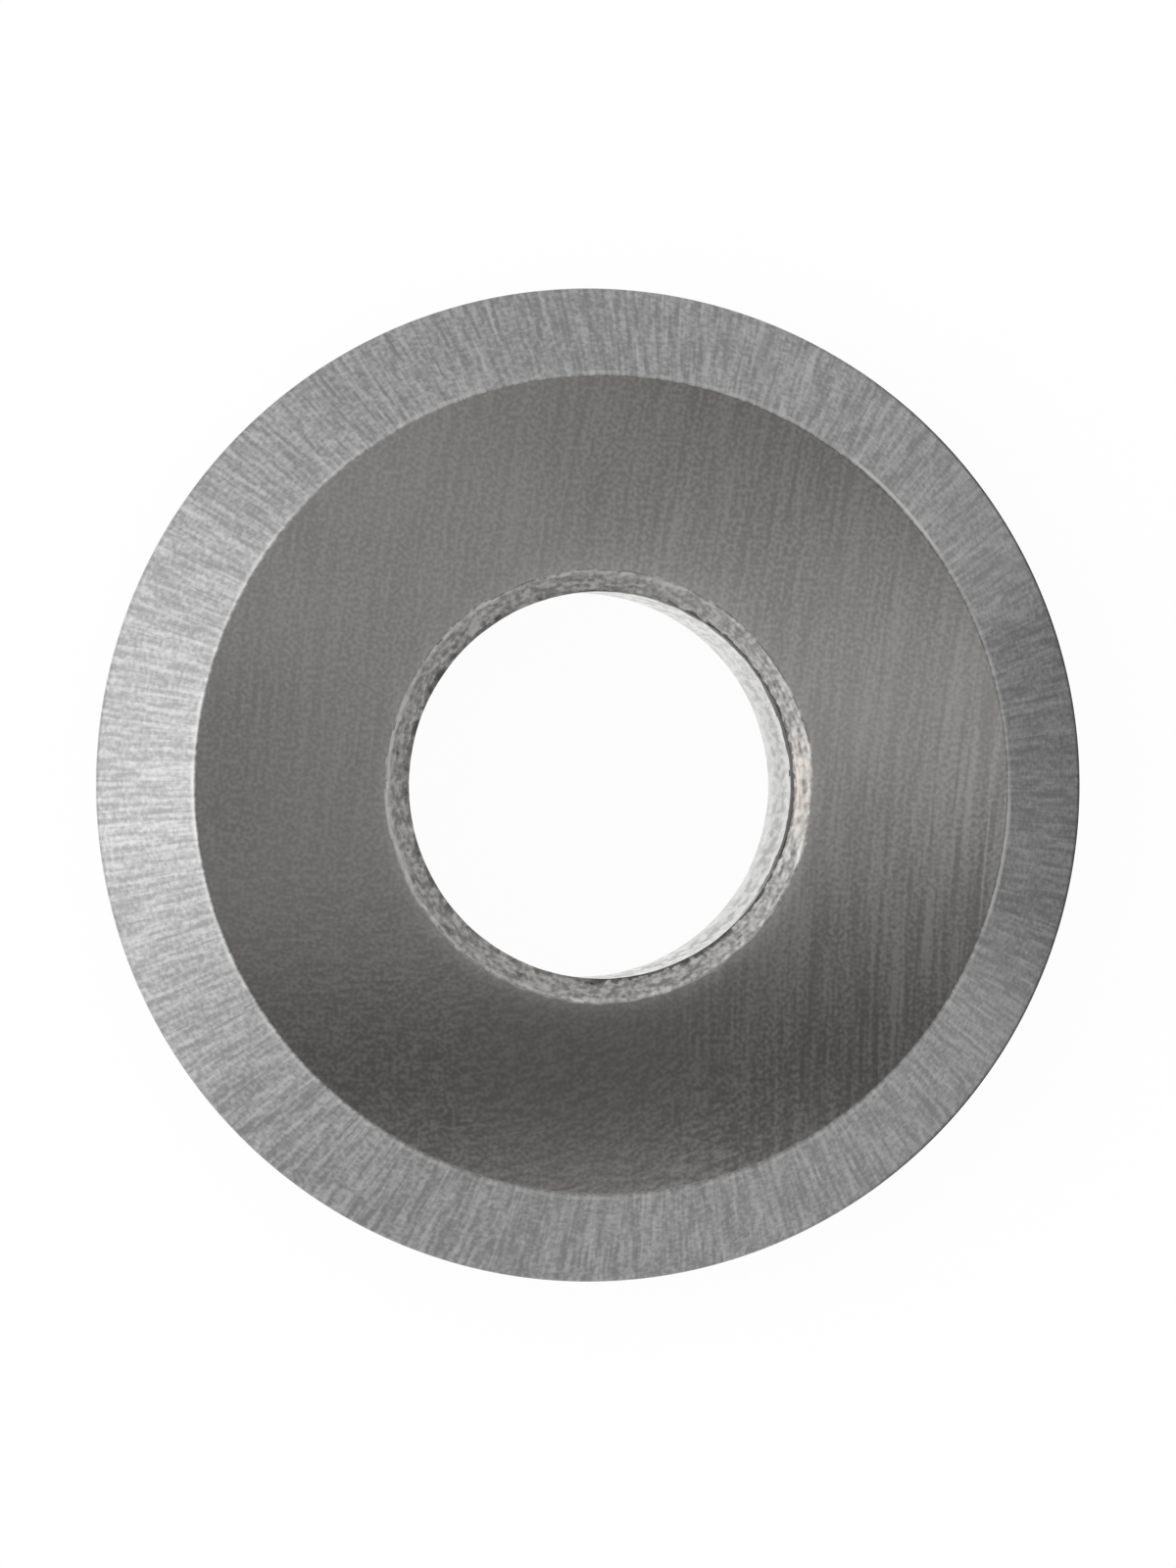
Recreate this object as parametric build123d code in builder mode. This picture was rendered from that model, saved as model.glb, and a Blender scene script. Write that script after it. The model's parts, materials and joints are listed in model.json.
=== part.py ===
from build123d import *
import os
from math import radians, sin

# Tile cutter wheel: a scoring disc of sintered carbide, ground to a double-bevelled rim.
# The wheel lies flat on one side face, as it rests on a bench.
# The origin is the centre of the bore, in the plane of the cutting edge, and +Z runs along the bore.

# Driving dimensions, in millimetres and degrees
wheel_diameter = 16.0
wheel_thickness = 3.0
edge_angle = 92.0  # included angle between the two ground flanks
edge_radius = 0.1  # honed tip of the cutting edge
shoulder_radius = 0.08  # rounding where a flank runs out into a side face
axle_diameter = 6.0  # pin that the wheel spins on
axle_clearance = 0.1  # radial gap all round that pin
lead_in_width = 0.36  # pressed chamfer at each mouth of the bore, measured across the side face
lead_in_depth = 0.2  # the same chamfer, measured down the bore

# Places that follow from them
half_thickness = wheel_thickness / 2
half_angle = edge_angle / 2
bore_radius = axle_diameter / 2 + axle_clearance
tip_center = wheel_diameter / 2 - edge_radius
tip_sweep = 90 - half_angle
flank_rise = half_thickness - edge_radius * sin(radians(tip_sweep))

with BuildPart() as cutting_wheel:
    # Section of the disc on one side of its axis: the honed tip, a flank, a side face and the bore
    with BuildSketch(Plane.XZ):
        with BuildLine():
            tip = CenterArc((tip_center, 0), edge_radius, 0, tip_sweep)
            flank = PolarLine(tip @ 1, flank_rise, 180 - half_angle, length_mode=LengthMode.VERTICAL)
            side = Line(flank @ 1, (bore_radius, half_thickness))
            Line(side @ 1, (bore_radius, 0))
            mirror(about=Plane.XZ)
        make_face()
    revolve(axis=Axis.Z)

    # Lead-in chamfers, one at each mouth of the bore
    for end in (0, -1):
        side_face = faces().filter_by(GeomType.PLANE).sort_by(Axis.Z)[end]
        bore_mouth = side_face.edges().sort_by(SortBy.RADIUS)[0]
        chamfer(bore_mouth, lead_in_width, lead_in_depth, reference=side_face)

    # Rounded shoulders, where the flanks meet the side faces
    shoulders = faces().filter_by(GeomType.PLANE).edges().group_by(SortBy.RADIUS)[-1]
    fillet(shoulders, shoulder_radius)

cutting_wheel.part.label = "cutting_wheel"

os.makedirs("parts", exist_ok=True)
export_step(cutting_wheel.part, "parts/cutting_wheel.step")
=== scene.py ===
# Looks of a tile cutter wheel: a sintered carbide disc, ground on its side faces and flanks
import json
import math

import bpy
from bpy.props import FloatProperty, FloatVectorProperty, IntProperty, PointerProperty
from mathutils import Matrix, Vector, noise


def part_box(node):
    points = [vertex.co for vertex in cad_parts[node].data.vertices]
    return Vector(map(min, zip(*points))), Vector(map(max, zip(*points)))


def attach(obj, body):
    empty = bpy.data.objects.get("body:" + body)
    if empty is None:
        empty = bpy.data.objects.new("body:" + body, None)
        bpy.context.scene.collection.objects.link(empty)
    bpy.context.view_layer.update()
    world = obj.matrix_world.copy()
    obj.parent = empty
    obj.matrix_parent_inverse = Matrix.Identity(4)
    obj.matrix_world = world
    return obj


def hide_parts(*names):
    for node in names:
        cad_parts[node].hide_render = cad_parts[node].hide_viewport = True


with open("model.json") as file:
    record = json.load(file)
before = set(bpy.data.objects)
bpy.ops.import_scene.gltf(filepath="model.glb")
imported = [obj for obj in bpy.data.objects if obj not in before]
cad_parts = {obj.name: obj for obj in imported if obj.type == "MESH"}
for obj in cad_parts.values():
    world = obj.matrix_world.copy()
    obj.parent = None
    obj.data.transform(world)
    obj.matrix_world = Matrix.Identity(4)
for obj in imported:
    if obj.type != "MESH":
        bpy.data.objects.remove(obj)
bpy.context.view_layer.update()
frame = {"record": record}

bl_info = {
    "name": "Tile Cutter Wheel",
    "version": (1, 0, 0),
    "blender": (4, 5, 0),
    "location": "View3D > Sidebar > Cutter Wheel",
    "description": "Builds a ground carbide scoring wheel and the pale studio it lies in",
    "category": "Object",
}

MM = 0.001
NODE = "cutting_wheel"

# Sizes that the solid already settles
wheel_low, wheel_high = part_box(NODE)
axle_bore = next(m for m in frame["record"]["mounts"] if m["name"] == "axle_bore")

# The photograph's frame, in pixels, and where the cutting edge lies in it
PHOTO_HEIGHT = 1600
EDGE_RADIUS_PX = 506.8
CENTER_OFFSET_PX = (1.9, -1.1)

# Zones of the section, which are also the material slots in their order
SIDE, FLANK, CHAMFER, WALL = range(4)

# Mesh of the section: steps along it, and how near a rounding the flat beside it starts, so that
# it keeps its own shading
WALL_STEP = 0.12 * MM
CHAMFER_STEP = 0.026 * MM
ROLL_STEP = 0.1 * MM
SIDE_STEP = 0.45 * MM
FLANK_STEP = 0.3 * MM
ARC_STEPS = 4
SHARP = 0.02 * MM

# Shares of the chamfer's width: how far its mesh runs on past its outer rim, and over how much
# of it, from the bore outwards, its lumps come in
SPILL_SHARE = 0.25
FADE_SHARE = 0.2

# Grain of the sintered surfaces: sizes and weights, how much narrower than long the flecks are,
# and the share of its height that shows on the bore's wall
FLECK_SIZE, FLECK_WEIGHT, FLECK_NARROWING = 0.26 * MM, 0.8, 5
LUMP_SIZE, LUMP_WEIGHT = 0.13 * MM, 0.5
LUMP_DIMENSION, LUMP_LACUNARITY, LUMP_OCTAVES = 0.7, 2.1, 3
WAVE_SIZE = 0.6 * MM
WALL_GRAIN = 0.2

# World light: a level all round, and lobes as (aim, strength, how narrow)
SKY_LEVEL = 0.93
SKY_LOBES = (
    ((-0.97, 0.04, 0.24), 1.8, 4),
    ((0.0, 1.0, 0.1), 0.12, 2),
    ((0.1, -1.0, 0.1), -0.1, 2),
)

# Panel close overhead, which grades the side face: its left, right and half width, in millimetres
PANEL_SPAN = (-14, 20, 14)
PANEL_HEIGHT = 25
PANEL_LEVEL = 0.2
PANEL_GLOWS = (
    # x, y, reach along x, reach along y, strength
    (8.5, 1.6, 11, 3.6, 0.73),
    (-8, 8.5, 13, 6.5, 0.8),
    (-3, -2.2, 9, 2, 0.25),
    (2, -9, 25, 2.2, 0.75),
)

# Floor and cards round the wheel, in millimetres, the lying cards in the same way as the panel
FLOOR_REACH = 700
GREY_CARD_X, GREY_CARD_HALF_WIDTH, GREY_CARD_TOP = 15, 5.5, 3
DIM_CARD_SPAN = (10, 15, 6)
DARK_CARD_SPAN = (5, 10, 8)
BRIGHT_CARD_SPAN = (-60, -8.2, 10)
CARD_LIFT = 0.02

# Share of the shadows on the floor that the camera still sees
KEPT_SHADOW = 0.045

# Places that the finishes refer to, as x and y in millimetres; the stain's has a height too
SWEEP_CENTER = (58, -5.7)
RINGS_CENTER = (-4, 5)
DARK_PLACE = (-0.6, -4.3)
# Places of two painted highlights, glints on the shoulder's rounding
PAINTED_SHOULDER_GLINTS = ((4.8, 4.5), (6.5, -1.2))
STAIN_PLACE = (3.3, -0.1, 1.4)
SCRATCHES = (
    # reach from the sweep's centre, middle along y, half length
    (52.015, -1.3, 1.2),
    (52.36, -2.8, 0.5),
)

# Radius of the flanks' middle, where the pitch of their grinding lines holds
FLANK_MIDDLE = 7.3 * MM

WHITE = (1.0, 1.0, 1.0, 1.0)
RIGHT, UP = (1, 0, 0), (0, 1, 0)


class WheelShape(bpy.types.PropertyGroup):
    """Sizes of the disc's section and of its sintered grain."""

    outer_radius: FloatProperty(
        name="Outer radius", description="From the bore's axis to the cutting edge",
        default=wheel_high[0], min=0, precision=6, unit="LENGTH", subtype="DISTANCE")
    half_thickness: FloatProperty(
        name="Half thickness", description="From the cutting edge's plane to a side face",
        default=wheel_high[2], min=0, precision=6, unit="LENGTH", subtype="DISTANCE")
    bore_radius: FloatProperty(
        name="Bore radius", description="Radius of the bore's wall",
        default=axle_bore["dims"]["r_mm"] * MM, min=0, precision=6, unit="LENGTH", subtype="DISTANCE")
    wall_length: FloatProperty(
        name="Wall length", description="Length of the bore's wall between its lead-in chamfers",
        default=axle_bore["dims"]["length_mm"] * MM, min=0, precision=6, unit="LENGTH", subtype="DISTANCE")
    lead_in_width: FloatProperty(
        name="Lead-in width", description="Width of the pressed chamfer, across the side face",
        default=0.36 * MM, min=0, precision=6, unit="LENGTH", subtype="DISTANCE")
    edge_angle: FloatProperty(
        name="Edge angle", description="Included angle between the two flanks",
        default=math.radians(92), min=0, subtype="ANGLE")
    edge_radius: FloatProperty(
        name="Edge radius", description="Honed tip of the cutting edge",
        default=0.1 * MM, min=0, precision=6, unit="LENGTH", subtype="DISTANCE")
    shoulder_radius: FloatProperty(
        name="Shoulder radius", description="Rounding between a flank and a side face",
        default=0.08 * MM, min=0, precision=6, unit="LENGTH", subtype="DISTANCE")
    rim_radius: FloatProperty(
        name="Rim radius", description="Rounding between the bore's wall and its chamfer",
        default=0.025 * MM, min=0, precision=6, unit="LENGTH", subtype="DISTANCE")
    roll_off: FloatProperty(
        name="Roll-off", description="Drop of the side face towards the bore, left by grinding",
        default=0.005 * MM, min=0, precision=6, unit="LENGTH", subtype="DISTANCE")
    roll_width: FloatProperty(
        name="Roll width", description="How far from the chamfer that drop starts",
        default=0.5 * MM, min=0, precision=6, unit="LENGTH", subtype="DISTANCE")
    grain_height: FloatProperty(
        name="Grain height", description="Height of the lumps on the sintered surfaces",
        default=0.014 * MM, min=0, precision=6, unit="LENGTH", subtype="DISTANCE")
    raggedness: FloatProperty(
        name="Raggedness", description="How far the chamfer's surface strays, measured down the bore",
        default=0.022 * MM, min=0, precision=6, unit="LENGTH", subtype="DISTANCE")
    drift: FloatVectorProperty(
        name="Drift", description="Shift of the chamfer's outline against the bore",
        default=(-0.05 * MM, -0.015 * MM), size=2, precision=6, unit="LENGTH")
    segments: IntProperty(
        name="Segments", description="Steps around the wheel", default=720, min=24)


class CarbideFinish(bpy.types.PropertyGroup):
    """Tones of the ground and sintered carbide."""

    side_color: FloatVectorProperty(
        name="Side face", description="Ground carbide of the side faces",
        default=(0.254, 0.247, 0.238), min=0, max=1, subtype="COLOR")
    flank_color: FloatVectorProperty(
        name="Flank", description="Ground carbide of the flanks and the cutting edge",
        default=(0.27, 0.27, 0.27), min=0, max=1, subtype="COLOR")
    sintered_color: FloatVectorProperty(
        name="Sintered", description="Unground carbide in the bore and on its chamfers",
        default=(0.27, 0.265, 0.257), min=0, max=1, subtype="COLOR")
    # Also the colour of painted highlights: the halo round the chamfer, the shoulder's glints, the
    # chamfer's crest and upper right, and the wall's upper right.
    worn_and_sheen_color: FloatVectorProperty(
        name="Worn edge", description="Bare bright carbide along the edges",
        default=(0.55, 0.55, 0.53), min=0, max=1, subtype="COLOR")
    # Also the colour of painted shade: on the tip and at the bore's mouth on the right, and on the wall
    # below it.
    residue_and_shade_color: FloatVectorProperty(
        name="Residue", description="Dark residue round the mouth of the bore",
        default=(0.035, 0.034, 0.033), min=0, max=1, subtype="COLOR")
    stain_color: FloatVectorProperty(
        name="Stain", description="Warm stain on one side of the chamfer",
        default=(0.5, 0.45, 0.4), min=0, max=1, subtype="COLOR")


class StudioLook(bpy.types.PropertyGroup):
    """The stage and the camera."""

    floor_color: FloatVectorProperty(
        name="Floor", description="Colour of the floor",
        default=(0.8, 0.8, 0.8), min=0, max=1, subtype="COLOR")
    grey_level: FloatProperty(
        name="Grey card", description="Level of the standing card that the right flank mirrors",
        default=0.66, min=0)
    dim_level: FloatProperty(
        name="Dim card", description="Level of the lying card in front of the grey one",
        default=0.42, min=0)
    dark_level: FloatProperty(
        name="Dark card", description="Level of the lying card that the tip mirrors on the right",
        default=0.06, min=0)
    bright_level: FloatProperty(
        name="Bright card", description="Level of the lying card that the tip mirrors on the left",
        default=1.75, min=0)
    camera_distance: FloatProperty(
        name="Camera distance", description="From the wheel's centre to the camera",
        default=0.25, min=0, unit="LENGTH", subtype="DISTANCE")
    camera_tilt: FloatProperty(
        name="Camera tilt", description="Lean of the view away from the bore's axis, to the left",
        default=math.radians(8.0), subtype="ANGLE")


def millimetres(*lengths):
    """Lengths in millimetres as metres."""
    return tuple(length * MM for length in lengths)


def lifted(spot, height=0.0):
    """A spot that is given as x and y in millimetres, at a height in metres."""
    return (*millimetres(*spot), height)


def spaced(start, end, step):
    """Points on the line from start to end, about a step apart, without its end."""
    count = max(1, round(math.dist(start, end) / step))
    return [tuple(a + (b - a) * i / count for a, b in zip(start, end)) for i in range(count)]


def along(start, end, length):
    """The point at that length along the line from start to end."""
    share = length / math.dist(start, end)
    return tuple(a + (b - a) * share for a, b in zip(start, end))


def arc(center, radius, start, end):
    """Points on an arc in the section, with both of its ends."""
    angles = [start + (end - start) * i / ARC_STEPS for i in range(ARC_STEPS + 1)]
    return [(center[0] + radius * math.cos(a), center[1] + radius * math.sin(a)) for a in angles]


def lead_in_depth(shape):
    """Depth of the chamfer, down the bore."""
    return shape.half_thickness - shape.wall_length / 2


def chamfer_slope(shape):
    """Angle between the chamfer and the side face."""
    return math.atan2(lead_in_depth(shape), shape.lead_in_width)


def shoulder_arc(shape):
    """Rounding between the side face and the flank, from the face outwards."""
    half_angle = shape.edge_angle / 2
    tip_center = shape.outer_radius - shape.edge_radius
    flank_foot = tip_center + shape.edge_radius / math.sin(half_angle)
    corner = flank_foot - shape.half_thickness / math.tan(half_angle)
    center = (corner - shape.shoulder_radius * math.tan(half_angle / 2),
              shape.half_thickness - shape.shoulder_radius)
    return arc(center, shape.shoulder_radius, math.pi / 2, math.pi / 2 - half_angle)


def upper_section(shape):
    """Upper half of the section from mid-bore out to the tip, as points and the zone after each."""
    top, bore = shape.half_thickness, shape.bore_radius
    slope = chamfer_slope(shape)
    turn = math.pi / 2 - slope
    rim_center = (bore + shape.rim_radius, shape.wall_length / 2 - shape.rim_radius * math.tan(turn / 2))
    rim = arc(rim_center, shape.rim_radius, math.pi, math.pi - turn)
    spill = SPILL_SHARE * shape.lead_in_width
    chamfer_end = (bore + shape.lead_in_width + spill, top + spill * math.tan(slope))

    roll_start = (chamfer_end[0] + SHARP, top)
    roll_end = (chamfer_end[0] + shape.roll_width, top)
    shoulder = shoulder_arc(shape)
    side_end = (shoulder[0][0] - SHARP, top)
    tip_center = (shape.outer_radius - shape.edge_radius, 0)
    tip = arc(tip_center, shape.edge_radius, math.pi / 2 - shape.edge_angle / 2, 0)
    flank_start = along(shoulder[-1], tip[0], SHARP)
    flank_end = along(tip[0], shoulder[-1], SHARP)

    zones = {
        WALL: spaced((bore, 0), rim[0], WALL_STEP),
        CHAMFER: rim[:-1] + spaced(rim[-1], chamfer_end, CHAMFER_STEP) + [chamfer_end],
        SIDE: spaced(roll_start, roll_end, ROLL_STEP) + spaced(roll_end, side_end, SIDE_STEP) + [side_end],
        FLANK: shoulder + spaced(flank_start, flank_end, FLANK_STEP) + [flank_end] + tip,
    }
    return [(r, z, zone) for zone in (WALL, CHAMFER, SIDE, FLANK) for r, z in zones[zone]]


def ground_height(shape, r):
    """Height of the ground side face, which drops a little towards the bore."""
    start = shape.bore_radius + shape.lead_in_width
    nearness = max(0.0, 1 - (r - start) / shape.roll_width)
    return shape.half_thickness - shape.roll_off * min(1.0, nearness) ** 2


def sintered_lump(shape, r, z, x, y):
    """Height of the grain at a place: long flecks round the bore, lumps, and slow waves."""
    place = Vector((r * x, r * y, z))
    flecks = noise.noise(Vector((place.x, place.y, (r + z) * FLECK_NARROWING)) / FLECK_SIZE)
    lumps = noise.fractal(place / LUMP_SIZE, LUMP_DIMENSION, LUMP_LACUNARITY, LUMP_OCTAVES)
    waves = noise.noise(place / WAVE_SIZE)
    grain = FLECK_WEIGHT * flecks + LUMP_WEIGHT * lumps
    return shape.grain_height * grain + shape.raggedness * waves


def wheel_point(shape, r, z, zone, angle):
    """The point of the section at that angle, and whether the grinding has reached it."""
    x, y = math.cos(angle), math.sin(angle)
    ground = ground_height(shape, r)
    side = math.copysign(1, z)
    if zone == SIDE:
        return Vector((r * x, r * y, side * ground)), True
    if zone == FLANK:
        return Vector((r * x, r * y, z)), True
    lump = sintered_lump(shape, r, z, x, y)
    on_chamfer = min(1.0, max(0.0, (r - shape.bore_radius) / (FADE_SHARE * shape.lead_in_width)))
    drift = (x * shape.drift[0] + y * shape.drift[1]) * math.tan(chamfer_slope(shape))
    height = abs(z) + (lump - drift) * on_chamfer
    radius = r + WALL_GRAIN * max(0.0, shape.grain_height + lump) * (1 - on_chamfer)
    return Vector((radius * x, radius * y, side * min(ground, height))), height >= ground


def wheel_mesh(shape):
    """The whole disc: its section turned about the bore's axis."""
    upper = upper_section(shape)
    zones = [zone for r, z, zone in upper[:-1]]
    zones += zones[::-1]
    section = upper + [(r, -z, zone) for r, z, zone in reversed(upper[1:-1])]
    turns = shape.segments
    angles = [2 * math.pi * j / turns for j in range(turns)]
    points = [wheel_point(shape, *point, angle) for point in section for angle in angles]

    faces, slots, cells = [], [], []
    for i, zone in enumerate(zones):
        here, there = i * turns, (i + 1) % len(section) * turns
        for j in range(turns):
            beside = (j + 1) % turns
            face = (here + j, here + beside, there + beside, there + j)
            smoothed = zone == CHAMFER and all(points[v][1] for v in face)
            faces.append(face)
            slots.append(SIDE if smoothed else zone)
            cells.append((i, j))

    mesh = bpy.data.meshes.new(NODE)
    mesh.from_pydata([place for place, ground in points], [], faces)
    mesh.polygons.foreach_set("material_index", slots)
    mesh.polygons.foreach_set("use_smooth", [True] * len(faces))
    lay_strips(mesh, section, turns, cells)
    lay_plan(mesh, shape.outer_radius)
    mesh.update()
    return mesh


def lay_strips(mesh, section, turns, cells):
    """A map of the section against the angle, as two strips of half a turn, without overlaps."""
    lengths = [0.0]
    for i, (r, z, zone) in enumerate(section):
        after = section[(i + 1) % len(section)]
        lengths.append(lengths[-1] + math.dist((r, z), after[:2]))
    half = turns // 2
    corners = []
    for i, j in cells:
        low, high = lengths[i] / lengths[-1] / 2, lengths[i + 1] / lengths[-1] / 2
        left, right = (j % half) / half, (j % half + 1) / half
        lift = 0.5 * (j // half)
        corners += [left, low + lift, right, low + lift, right, high + lift, left, high + lift]
    mesh.uv_layers.new(name="OFBake").data.foreach_set("uv", corners)


def lay_plan(mesh, radius):
    """A map seen from above, which gives the side faces' lay its direction."""
    corners = []
    for loop in mesh.loops:
        place = mesh.vertices[loop.vertex_index].co
        corners += [place.x / radius / 2 + 0.5, place.y / radius / 2 + 0.5]
    mesh.uv_layers.new(name="plan").data.foreach_set("uv", corners)


class Wiring:
    """Adds nodes to one tree and feeds them plain values or other nodes' outputs."""

    def __init__(self, tree):
        self.tree = tree
        tree.nodes.clear()

    def feed(self, socket, value):
        if isinstance(value, bpy.types.NodeSocket):
            self.tree.links.new(value, socket)
        else:
            socket.default_value = value

    def node(self, kind, settings=None, **inputs):
        made = self.tree.nodes.new(kind)
        for name, value in (settings or {}).items():
            setattr(made, name, value)
        for name, value in inputs.items():
            self.feed(made.inputs[name.replace("_", " ")], value)
        return made

    def math(self, operation, *values):
        made = self.node("ShaderNodeMath", {"operation": operation})
        for socket, value in zip(made.inputs, values):
            self.feed(socket, value)
        return made.outputs[0]

    def vector(self, operation, *values):
        made = self.node("ShaderNodeVectorMath", {"operation": operation})
        for socket, value in zip(made.inputs, values):
            self.feed(socket, value)
        scalar = operation in ("DOT_PRODUCT", "LENGTH", "DISTANCE")
        return made.outputs["Value" if scalar else "Vector"]

    def scaled(self, vector, scale):
        made = self.node("ShaderNodeVectorMath", {"operation": "SCALE"}, Vector=vector, Scale=scale)
        return made.outputs[0]

    def place(self):
        """The place on the object."""
        return self.node("ShaderNodeTexCoord").outputs["Object"]

    def flat(self, place):
        """The place without its height."""
        return self.vector("MULTIPLY", place, (1, 1, 0))

    def height(self, place):
        return self.node("ShaderNodeSeparateXYZ", Vector=place).outputs["Z"]

    def toward(self, place, direction):
        """How far the place lies in a direction from the bore's centre."""
        return self.vector("DOT_PRODUCT", place, direction)

    def away(self, place, spot):
        """How far the place lies from a spot."""
        return self.vector("DISTANCE", place, spot)

    def off(self, value, middle):
        """How far a value is off a middle value, to either side."""
        return self.math("ABSOLUTE", self.math("SUBTRACT", value, middle))

    def upright(self, value):
        """A vector with that value as its height."""
        return self.node("ShaderNodeCombineXYZ", Z=value).outputs[0]

    def noise(self, place, size, detail=2.0, distortion=0.0):
        made = self.node("ShaderNodeTexNoise", Vector=place, Scale=1 / size, Detail=detail,
                         Distortion=distortion)
        return made.outputs["Fac"]

    def streaks(self, slow, quick, run, pitch):
        """Noise that is drawn out along one vector to a run's length, and narrowed along another."""
        drawn = self.vector("ADD", self.scaled(slow, 1 / run), self.scaled(quick, 1 / pitch))
        return self.noise(drawn, size=1.0, detail=1.0, distortion=0.3)

    def blend(self, first, second, share):
        """Both values together, the second by its share."""
        rest = self.math("SUBTRACT", 1.0, share)
        return self.math("ADD", self.math("MULTIPLY", first, rest), self.math("MULTIPLY", second, share))

    def between(self, value, low, high, to_low=0.0, to_high=1.0):
        """Eases from to_low to to_high while the value goes from low to high."""
        made = self.node("ShaderNodeMapRange", {"interpolation_type": "SMOOTHSTEP"})
        for socket, number in zip(made.inputs, (value, low, high, to_low, to_high)):
            self.feed(socket, number)
        return made.outputs["Result"]

    def mix(self, share, first, second):
        """The first colour with a share of the second."""
        made = self.node("ShaderNodeMix", {"data_type": "RGBA"})
        colors = [socket for socket in made.inputs if socket.type == "RGBA"]
        self.feed(made.inputs[0], share)
        self.feed(colors[0], first)
        self.feed(colors[1], second)
        return next(socket for socket in made.outputs if socket.type == "RGBA")


def toned(color, level=1.0):
    """A colour at a share of its level, with its alpha."""
    return (*(min(1.0, c * level) for c in color), 1.0)


def new_material(name):
    """A material without nodes, and the wiring that fills it."""
    material = bpy.data.materials.new(name)
    material.use_nodes = True
    return material, Wiring(material.node_tree)


def finish_metal(wires, tone, roughness, height, relief, anisotropy=0.0, lay=None, glance=WHITE):
    """Joins a metal to the output: tone, roughness, relief, lay, and its tint at a glance."""
    bump = wires.node("ShaderNodeBump", Height=height, Strength=1.0, Distance=relief)
    shader = wires.node("ShaderNodeBsdfPrincipled", Base_Color=tone, Metallic=1.0, Roughness=roughness,
                        Normal=bump.outputs["Normal"], Anisotropic=anisotropy, Specular_Tint=glance)
    if lay:
        wires.feed(shader.inputs["Tangent"], lay)
    wires.node("ShaderNodeOutputMaterial", Surface=shader.outputs["BSDF"])


def finish_light(wires, level):
    """Joins a plain white light of that level to the output."""
    light = wires.node("ShaderNodeEmission", Color=WHITE, Strength=level)
    wires.node("ShaderNodeOutputMaterial", Surface=light.outputs[0])


def side_material(finish, shape):
    """Side face: grinding lines in wide arcs, wavy rings low on the left, and a speckle."""
    material, wires = new_material("carbide_side_ground")
    place = wires.place()
    sweep = wires.away(place, lifted(SWEEP_CENTER))
    fine = wires.streaks(place, wires.upright(sweep), run=1.8 * MM, pitch=0.08 * MM)
    broad = wires.streaks(place, wires.upright(sweep), run=2.5 * MM, pitch=0.17 * MM)
    low_left = wires.between(wires.toward(place, (-0.5, -0.86, 0)), 1.8 * MM, 4.2 * MM)
    lines = wires.blend(wires.blend(fine, broad, 0.14), wavy_rings(wires, place), low_left)
    rightward = wires.toward(place, (0.9, -0.4, 0))
    speckle = wires.noise(place, size=0.068 * MM, detail=0.0)
    mixed = wires.blend(lines, speckle, wires.between(rightward, -6 * MM, 4 * MM, 0.58, 0.45))

    tone = wires.mix(wires.between(mixed, 0.34, 0.7), toned(finish.side_color, 0.84),
                     toned(finish.side_color, 1.22))
    calm = calm_share(wires, place, rightward, shape)
    tone = wires.mix(calm, tone, toned(finish.side_color))
    cloud = wires.between(wires.noise(place, size=1.8 * MM), 0.35, 0.65, 0.0, 0.12)
    tone = wires.mix(cloud, tone, toned(finish.worn_and_sheen_color, 0.6))
    low_right = wires.between(wires.toward(place, (0.8, -0.6, 0)), 3 * MM, 5.2 * MM, 0.0, 0.36)
    pale_lines = wires.between(wires.blend(broad, mixed, 0.5), 0.42, 0.66)
    tone = wires.mix(wires.math("MULTIPLY", pale_lines, low_right), tone, toned(finish.worn_and_sheen_color, 0.8))
    tone = wires.mix(scratch_share(wires, place, sweep), tone, toned(finish.worn_and_sheen_color))
    # Painted highlight: a pale halo round the chamfer, stronger low down.
    tone = wires.mix(painted_halo_share(wires, place, shape), tone, toned(finish.worn_and_sheen_color))
    roughness = wires.between(mixed, 0.35, 0.65, 0.12, 0.17)
    lay = wires.node("ShaderNodeTangent", {"direction_type": "UV_MAP", "uv_map": "plan"}).outputs[0]
    finish_metal(wires, tone, roughness, mixed, relief=0.001 * MM, anisotropy=0.5, lay=lay)
    return material


def wavy_rings(wires, place):
    """Wavering lines in rings round a spot on the upper left."""
    wave = wires.math("MULTIPLY", wires.noise(place, size=2.2 * MM, detail=1.0), 0.6 * MM)
    circle = wires.math("ADD", wires.away(place, lifted(RINGS_CENTER)), wave)
    return wires.streaks(place, wires.upright(circle), run=0.26 * MM, pitch=0.085 * MM)


def calm_share(wires, place, rightward, shape):
    """Share of even tone where the lines are faint: on the left, and round the darkest place."""
    on_left = wires.between(rightward, -4 * MM, 0.0, 0.25, 0.0)
    from_dark = wires.away(place, lifted(DARK_PLACE, shape.half_thickness))
    in_dark = wires.between(from_dark, 0.8 * MM, 2.6 * MM, 0.45, 0.0)
    return wires.math("MAXIMUM", on_left, in_dark)


def scratch_share(wires, place, sweep):
    """Share of bare carbide in two fine scratches beside the right shoulder, along the arcs."""
    upward = wires.toward(place, UP)
    share = 0.0
    for reach, middle, half_length in SCRATCHES:
        line = wires.between(wires.off(sweep, reach * MM), 0.006 * MM, 0.03 * MM, 0.34, 0.0)
        fade_start, fade_end = millimetres(0.5 * half_length, half_length)
        kept = wires.between(wires.off(upward, middle * MM), fade_start, fade_end, 1.0, 0.0)
        share = wires.math("ADD", share, wires.math("MULTIPLY", line, kept))
    return share


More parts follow.
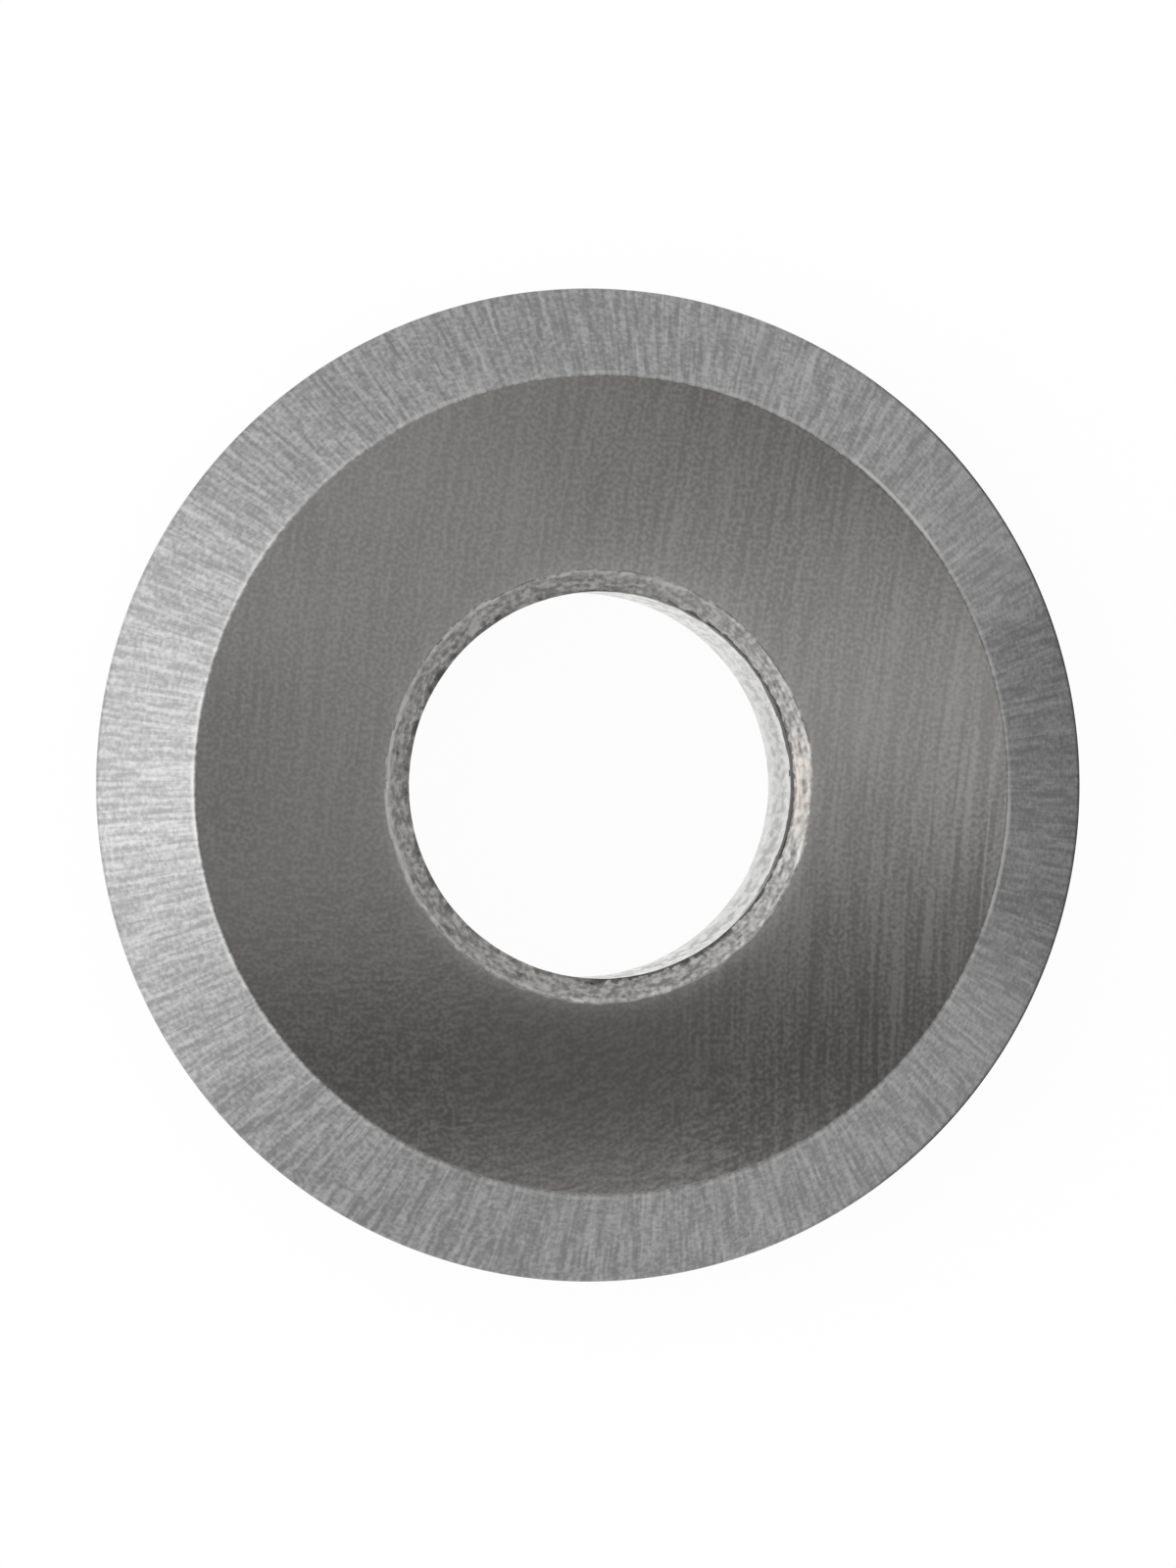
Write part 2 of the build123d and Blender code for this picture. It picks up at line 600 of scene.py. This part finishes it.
def painted_halo_share(wires, place, shape):
    """Share of painted highlight where the side face rolls off into the chamfer, most of it low down."""
    from_axis = wires.vector("DISTANCE", wires.flat(place), (*shape.drift, 0))
    outside = wires.math("SUBTRACT", from_axis, shape.bore_radius + shape.lead_in_width)
    stray = wires.math("MULTIPLY", wires.noise(place, size=0.12 * MM, detail=3.0), 0.3 * MM)
    near = wires.between(wires.blend(outside, stray, 0.5), 0.03 * MM, 0.2 * MM, 1.0, 0.0)
    low = wires.between(wires.toward(place, (0.1, -0.95, 0)), -2 * MM, 3 * MM, 0.06, 0.26)
    return wires.math("MULTIPLY", near, low)


def flank_material(finish, shape):
    """Flank: grinding lines that run outwards, a pale shoulder partly painted highlight, and a tip with
    painted shade on the right.
    """
    material, wires = new_material("carbide_flank_ground")
    place = wires.place()
    flat = wires.flat(place)
    radius = wires.vector("LENGTH", flat)
    around = wires.scaled(wires.vector("NORMALIZE", flat), FLANK_MIDDLE)
    short = wires.streaks(wires.upright(radius), around, run=0.45 * MM, pitch=0.07 * MM)
    long = wires.streaks(wires.upright(radius), around, run=1.3 * MM, pitch=0.086 * MM)
    speckle = wires.noise(place, size=0.08 * MM, detail=1.0)
    mixed = wires.blend(wires.blend(short, long, 0.45), speckle, 0.36)
    tone = wires.mix(wires.between(mixed, 0.36, 0.7), toned(finish.flank_color, 0.74),
                     toned(finish.flank_color, 1.44))
    tone = wires.mix(shoulder_wear_and_glint_share(wires, place, radius, shape), tone, toned(finish.worn_and_sheen_color))
    # Painted shade: the tip is darkened on the right alone, where it mirrors dark surroundings.
    tone = wires.mix(painted_tip_shade_share(wires, place, radius, shape), tone, toned(finish.residue_and_shade_color))
    roughness = wires.between(mixed, 0.35, 0.65, 0.26, 0.36)
    lay = wires.node("ShaderNodeTangent", {"direction_type": "RADIAL", "axis": "Z"}).outputs[0]
    finish_metal(wires, tone, roughness, mixed, relief=0.005 * MM, anisotropy=0.5, lay=lay)
    return material


def shoulder_wear_and_glint_share(wires, place, radius, shape):
    """Share of bare carbide along the shoulder, faint all round, and of painted highlight in two bright
    stretches.
    """
    corner = shoulder_arc(shape)[-1][0]
    near = wires.between(wires.off(radius, corner), 0.01 * MM, 0.045 * MM, 1.0, 0.0)
    share = wires.between(wires.noise(place, size=0.6 * MM, detail=3.0), 0.35, 0.6, 0.02, 0.24)
    # Painted highlight: two bright glints on the shoulder
    for middle in PAINTED_SHOULDER_GLINTS:
        away = wires.away(place, lifted(middle, shape.half_thickness))
        share = wires.math("MAXIMUM", share, wires.between(away, 0.7 * MM, 1.5 * MM, 0.6, 0.0))
    return wires.math("MULTIPLY", near, share)


def painted_tip_shade_share(wires, place, radius, shape):
    """Share of painted shade on the tip, a painted dark reflection, on the right alone."""
    tip = wires.between(radius, shape.outer_radius - 0.07 * MM, shape.outer_radius - 0.03 * MM)
    shade_on_right = wires.between(wires.toward(place, RIGHT), 2 * MM, 6 * MM, 0.0, 0.5)
    return wires.math("MULTIPLY", tip, shade_on_right)


def depth_below_side(wires, place, shape):
    """How deep the place lies in the bore, from the nearer side face."""
    return wires.math("SUBTRACT", shape.half_thickness, wires.math("ABSOLUTE", wires.height(place)))


def chamfer_material(finish, shape):
    """Lead-in chamfer: lumps drawn round the bore, a bright crest partly painted highlight, and dark
    residue with painted shade at the mouth.
    """
    material, wires = new_material("carbide_chamfer_sintered")
    place = wires.place()
    depth = depth_below_side(wires, place, shape)
    drawn = wires.streaks(place, wires.upright(depth), run=0.24 * MM, pitch=0.032 * MM)
    grain = wires.blend(wires.noise(place, size=0.086 * MM, detail=1.0), drawn, 0.5)
    tone = wires.mix(wires.between(grain, 0.36, 0.68), toned(finish.sintered_color, 0.68),
                     toned(finish.sintered_color, 1.66))
    pits = wires.between(wires.noise(place, size=0.14 * MM, detail=0.5), 0.18, 0.28, 0.6, 0.0)
    tone = wires.mix(pits, tone, toned(finish.residue_and_shade_color))
    tone = wires.mix(stain_share(wires, place), tone, toned(finish.stain_color))
    # Painted highlight: the chamfer is lighter on its upper right.
    upper_right_sheen = wires.between(wires.toward(place, (0.5, 0.87, 0)), 2.7 * MM, 3.2 * MM, 0.0, 0.14)
    tone = wires.mix(upper_right_sheen, tone, toned(finish.worn_and_sheen_color))
    # Painted highlight, partly wear: the chamfer's crest catches light, most of all on the left.
    tone = wires.mix(crest_wear_and_highlight_share(wires, place, depth), tone, toned(finish.worn_and_sheen_color))
    # Dark residue in dashes, and painted shade: the mouth's shadow line, unbroken on the right.
    tone = wires.mix(mouth_residue_and_shade(wires, place, depth, shape), tone, toned(finish.residue_and_shade_color))
    roughness = wires.between(grain, 0.35, 0.65, 0.32, 0.48)
    finish_metal(wires, tone, roughness, grain, relief=0.006 * MM)
    return material


def stain_share(wires, place):
    """Share of warm stain, in spots round one place on the right."""
    spots = wires.between(wires.noise(place, size=0.16 * MM), 0.42, 0.64, 0.1, 0.6)
    away = wires.away(place, millimetres(*STAIN_PLACE))
    near = wires.between(away, 0.3 * MM, 1.2 * MM, 1.0, 0.0)
    return wires.math("MULTIPLY", near, spots)


def crest_wear_and_highlight_share(wires, place, depth):
    """Share of bright carbide along the chamfer's outer rim, in patches and unbroken on the left: partly
    wear, partly a painted highlight of the edge.
    """
    patches = wires.between(wires.noise(place, size=0.2 * MM), 0.42, 0.66, 0.14, 0.9)
    on_left = wires.between(wires.toward(place, RIGHT), -3.3 * MM, -2.6 * MM, 0.72, 0.0)
    crest = wires.between(depth, 0.012 * MM, 0.05 * MM, 1.0, 0.0)
    return wires.math("MULTIPLY", crest, wires.math("MAXIMUM", patches, on_left))


def mouth_residue_and_shade(wires, place, depth, shape):
    """Share of dark residue in dashes along the bore's mouth, and of painted shade unbroken on the right.
    """
    from_mouth = wires.off(depth, lead_in_depth(shape) - 0.002 * MM)
    width = wires.between(wires.noise(place, size=0.16 * MM), 0.34, 0.66, 0.006 * MM, 0.054 * MM)
    ring = wires.between(wires.math("DIVIDE", from_mouth, width), 0.5, 1.1, 1.0, 0.0)
    upward = wires.between(wires.toward(place, UP), -2 * MM, 1 * MM, 0.2, 0.5)
    dashes = wires.between(wires.noise(place, size=0.3 * MM, detail=1.0), 0.4, 0.54)
    shade_on_right = wires.between(wires.toward(place, (0.95, -0.25, 0)), 0.25 * MM, 0.7 * MM, 0.0, 0.76)
    covered = wires.math("MAXIMUM", wires.math("MULTIPLY", dashes, upward), shade_on_right)
    return wires.math("MULTIPLY", ring, covered)


def wall_material(finish, shape):
    """Wall of the bore: grain drawn out down it, rubbed near its mouths, a painted highlight on the upper
    right, and painted shade below one mouth.
    """
    material, wires = new_material("carbide_bore_sintered")
    place = wires.place()
    pressed = wires.vector("MULTIPLY", place, (1, 1, 0.26))
    cloud = wires.noise(pressed, size=0.13 * MM)
    tone = wires.mix(wires.between(cloud, 0.36, 0.64), toned(finish.sintered_color, 0.9),
                     toned(finish.sintered_color, 1.5))
    tone = wires.mix(rubbed_and_sheen_share(wires, place, shape), tone, toned(finish.worn_and_sheen_color, 1.1))
    # Painted shade: the wall is darkened just below the upper mouth, and its reflection tint with it.
    shade_below_mouth = painted_shade_below_mouth_share(wires, place, shape)
    tone = wires.mix(shade_below_mouth, tone, toned(finish.residue_and_shade_color))
    glance = wires.mix(shade_below_mouth, WHITE, toned(finish.residue_and_shade_color))
    roughness = wires.between(cloud, 0.38, 0.62, 0.27, 0.12)
    finish_metal(wires, tone, roughness, cloud, relief=0.006 * MM, glance=glance)
    return material


def rubbed_and_sheen_share(wires, place, shape):
    """Share of rubbed carbide on the bore's wall near both mouths, and of painted highlight on the upper
    right.
    """
    past_mouth = wires.math("SUBTRACT", depth_below_side(wires, place, shape), lead_in_depth(shape))
    near_mouth = wires.between(past_mouth, 0.4 * MM, 1.0 * MM, 0.8, 0.0)
    # Painted highlight: the wall is lighter on its upper right.
    upper_right_sheen = wires.between(wires.toward(place, (0.35, 0.94, 0)), 1.9 * MM, 3 * MM, 0.0, 0.6)
    return wires.math("MAXIMUM", near_mouth, upper_right_sheen)


def painted_shade_below_mouth_share(wires, place, shape):
    """Share of painted shade on the bore's wall just below its upper mouth, on the right."""
    below_mouth = wires.math("SUBTRACT", shape.wall_length / 2, wires.height(place))
    ragged = wires.noise(place, size=0.3 * MM, detail=1.0)
    reach = wires.between(ragged, 0.36, 0.64, 0.22 * MM, 0.36 * MM)
    shade_on_right = wires.between(wires.toward(place, (0.9, 0.45, 0)), 0.5 * MM, 2.2 * MM, 0.0, 0.66)
    return wires.math("MULTIPLY", wires.math("LESS_THAN", below_mouth, reach), shade_on_right)


def add_object(name, data):
    """A new object with that data, in the scene."""
    made = bpy.data.objects.new(name, data)
    bpy.context.scene.collection.objects.link(made)
    return made


def add_sheet(name, corners, material):
    """A flat sheet that belongs to the stage."""
    mesh = bpy.data.meshes.new(name)
    mesh.from_pydata(corners, [], [(0, 1, 2, 3)])
    mesh.materials.append(material)
    sheet = add_object(name, mesh)
    return sheet


def lying(left, right, half_width, height):
    """Corners of a level sheet from left to right, as far to either side of the bore's centre."""
    return [(left, -half_width, height), (right, -half_width, height),
            (right, half_width, height), (left, half_width, height)]


def set_sky():
    """Light tent: even, much brighter on the left, and slightly graded from top to bottom."""
    world = bpy.data.worlds.new("light_tent")
    world.use_nodes = True
    bpy.context.scene.world = world
    wires = Wiring(world.node_tree)
    outward = wires.node("ShaderNodeTexCoord").outputs["Generated"]
    level = SKY_LEVEL
    for aim, strength, narrowness in SKY_LOBES:
        nearness = wires.vector("DOT_PRODUCT", outward, Vector(aim).normalized())
        lobe = wires.math("POWER", wires.math("MAXIMUM", nearness, 0.0), narrowness)
        level = wires.math("ADD", level, wires.math("MULTIPLY", lobe, strength))
    background = wires.node("ShaderNodeBackground", Color=WHITE, Strength=level)
    wires.node("ShaderNodeOutputWorld", Surface=background.outputs["Background"])


def panel_material():
    """Soft panel whose light is graded, as from a lamp behind cloth beside a dark lens."""
    material, wires = new_material("stage_panel_graded")
    place = wires.place()
    level = PANEL_LEVEL
    for x, y, reach_x, reach_y, strength in PANEL_GLOWS:
        away = wires.vector("SUBTRACT", place, millimetres(x, y, PANEL_HEIGHT))
        away = wires.vector("MULTIPLY", away, (1 / (reach_x * MM), 1 / (reach_y * MM), 0))
        fall = wires.math("MULTIPLY", wires.vector("DOT_PRODUCT", away, away), -1.0)
        glow = wires.math("MULTIPLY", wires.math("EXPONENT", fall), strength)
        level = wires.math("ADD", level, glow)
    finish_light(wires, level)
    return material


def floor_material(look):
    """Pale floor: seen directly or mirrored it is lifted to white, and it keeps part of the shadow."""
    material, wires = new_material("stage_floor_pale")
    ray = wires.node("ShaderNodeLightPath").outputs
    mirrored = wires.math("MAXIMUM", ray["Is Glossy Ray"], ray["Is Transmission Ray"])
    seen = wires.math("MAXIMUM", ray["Is Camera Ray"], mirrored)
    plain = wires.node("ShaderNodeBsdfDiffuse", Color=toned(look.floor_color))
    dim = wires.node("ShaderNodeBsdfDiffuse", Color=toned((KEPT_SHADOW,) * 3))
    glow = wires.node("ShaderNodeEmission", Color=WHITE, Strength=1 - KEPT_SHADOW)
    white = wires.node("ShaderNodeAddShader")
    wires.feed(white.inputs[0], dim.outputs[0])
    wires.feed(white.inputs[1], glow.outputs[0])
    both = wires.node("ShaderNodeMixShader", Fac=seen)
    wires.feed(both.inputs[1], plain.outputs[0])
    wires.feed(both.inputs[2], white.outputs[0])
    wires.node("ShaderNodeOutputMaterial", Surface=both.outputs[0])
    return material


def add_card(name, corners, level):
    """A plain card of even level that only mirroring surfaces see."""
    material, wires = new_material(name)
    finish_light(wires, level)
    card = add_sheet(name, corners, material)
    card.visible_camera = False
    card.visible_diffuse = False
    card.visible_shadow = False


class WHEEL_OT_cutting_wheel(bpy.types.Operator):
    """Build the carbide disc with its ground and sintered finishes"""

    bl_idname = "wheel.cutting_wheel"
    bl_label = "Cutting Wheel"

    def execute(self, context):
        shape, finish = context.scene.wheel_shape, context.scene.carbide_finish
        mesh = wheel_mesh(shape)
        for material in (side_material, flank_material, chamfer_material, wall_material):
            mesh.materials.append(material(finish, shape))
        wheel = add_object("carbide_disc", mesh)
        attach(wheel, "root")
        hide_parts(NODE)
        return {"FINISHED"}


class WHEEL_OT_stage(bpy.types.Operator):
    """Lay out the floor, the light and the camera"""

    bl_idname = "wheel.stage"
    bl_label = "Stage"

    def execute(self, context):
        look = context.scene.studio_look
        ground = wheel_low[2]
        reach = FLOOR_REACH * MM
        set_sky()
        add_sheet("stage_floor", lying(-reach, reach, reach, ground), floor_material(look))
        self.add_cards(look, ground)
        overhead = lying(*millimetres(*PANEL_SPAN, PANEL_HEIGHT))
        panel = add_sheet("stage_panel", overhead, panel_material())
        panel.visible_camera = False
        self.place_camera(context.scene)
        return {"FINISHED"}

    def add_cards(self, look, ground):
        """A standing grey card on the right, and lying ones in front of it and on the left."""
        x, half_width, top = millimetres(GREY_CARD_X, GREY_CARD_HALF_WIDTH, GREY_CARD_TOP)
        add_card("stage_card_grey", [(x, -half_width, ground), (x, half_width, ground),
                                     (x, half_width, top), (x, -half_width, top)], look.grey_level)
        lift = ground + CARD_LIFT * MM
        add_card("stage_card_dim", lying(*millimetres(*DIM_CARD_SPAN), lift), look.dim_level)
        add_card("stage_card_dark", lying(*millimetres(*DARK_CARD_SPAN), lift), look.dark_level)
        add_card("stage_card_bright", lying(*millimetres(*BRIGHT_CARD_SPAN), lift), look.bright_level)

    def place_camera(self, scene):
        """A camera that leans to the left and frames the wheel as the photograph does."""
        look = scene.studio_look
        px = scene.wheel_shape.outer_radius / EDGE_RADIUS_PX
        data = bpy.data.cameras.new("camera")
        data.lens = data.sensor_width * look.camera_distance / (PHOTO_HEIGHT * px)
        data.clip_start, data.clip_end = 0.01, 10.0
        camera = add_object("camera", data)
        tilt = look.camera_tilt
        camera.location = (-look.camera_distance * math.sin(tilt) - CENTER_OFFSET_PX[0] * px,
                           -CENTER_OFFSET_PX[1] * px, look.camera_distance * math.cos(tilt))
        camera.rotation_euler = (0, -tilt, 0)
        scene.camera = camera


class WHEEL_PT_panel(bpy.types.Panel):
    """Sidebar panel with the wheel's operators and sizes"""

    bl_label = "Cutter Wheel"
    bl_space_type = "VIEW_3D"
    bl_region_type = "UI"
    bl_category = "Cutter Wheel"

    def draw(self, context):
        scene, column = context.scene, self.layout.column()
        column.operator(WHEEL_OT_cutting_wheel.bl_idname)
        column.operator(WHEEL_OT_stage.bl_idname)
        for group in (scene.wheel_shape, scene.carbide_finish, scene.studio_look):
            for name in group.__annotations__:
                column.prop(group, name)


CLASSES = (WheelShape, CarbideFinish, StudioLook,
           WHEEL_OT_cutting_wheel, WHEEL_OT_stage, WHEEL_PT_panel)


def register():
    for each in CLASSES:
        bpy.utils.register_class(each)
    bpy.types.Scene.wheel_shape = PointerProperty(type=WheelShape)
    bpy.types.Scene.carbide_finish = PointerProperty(type=CarbideFinish)
    bpy.types.Scene.studio_look = PointerProperty(type=StudioLook)


def unregister():
    del bpy.types.Scene.studio_look
    del bpy.types.Scene.carbide_finish
    del bpy.types.Scene.wheel_shape
    for each in reversed(CLASSES):
        bpy.utils.unregister_class(each)


def main():
    register()
    bpy.context.scene.view_settings.view_transform = "Standard"
    bpy.ops.wheel.stage()
    bpy.ops.wheel.cutting_wheel()


if __name__ == "__main__":
    main()
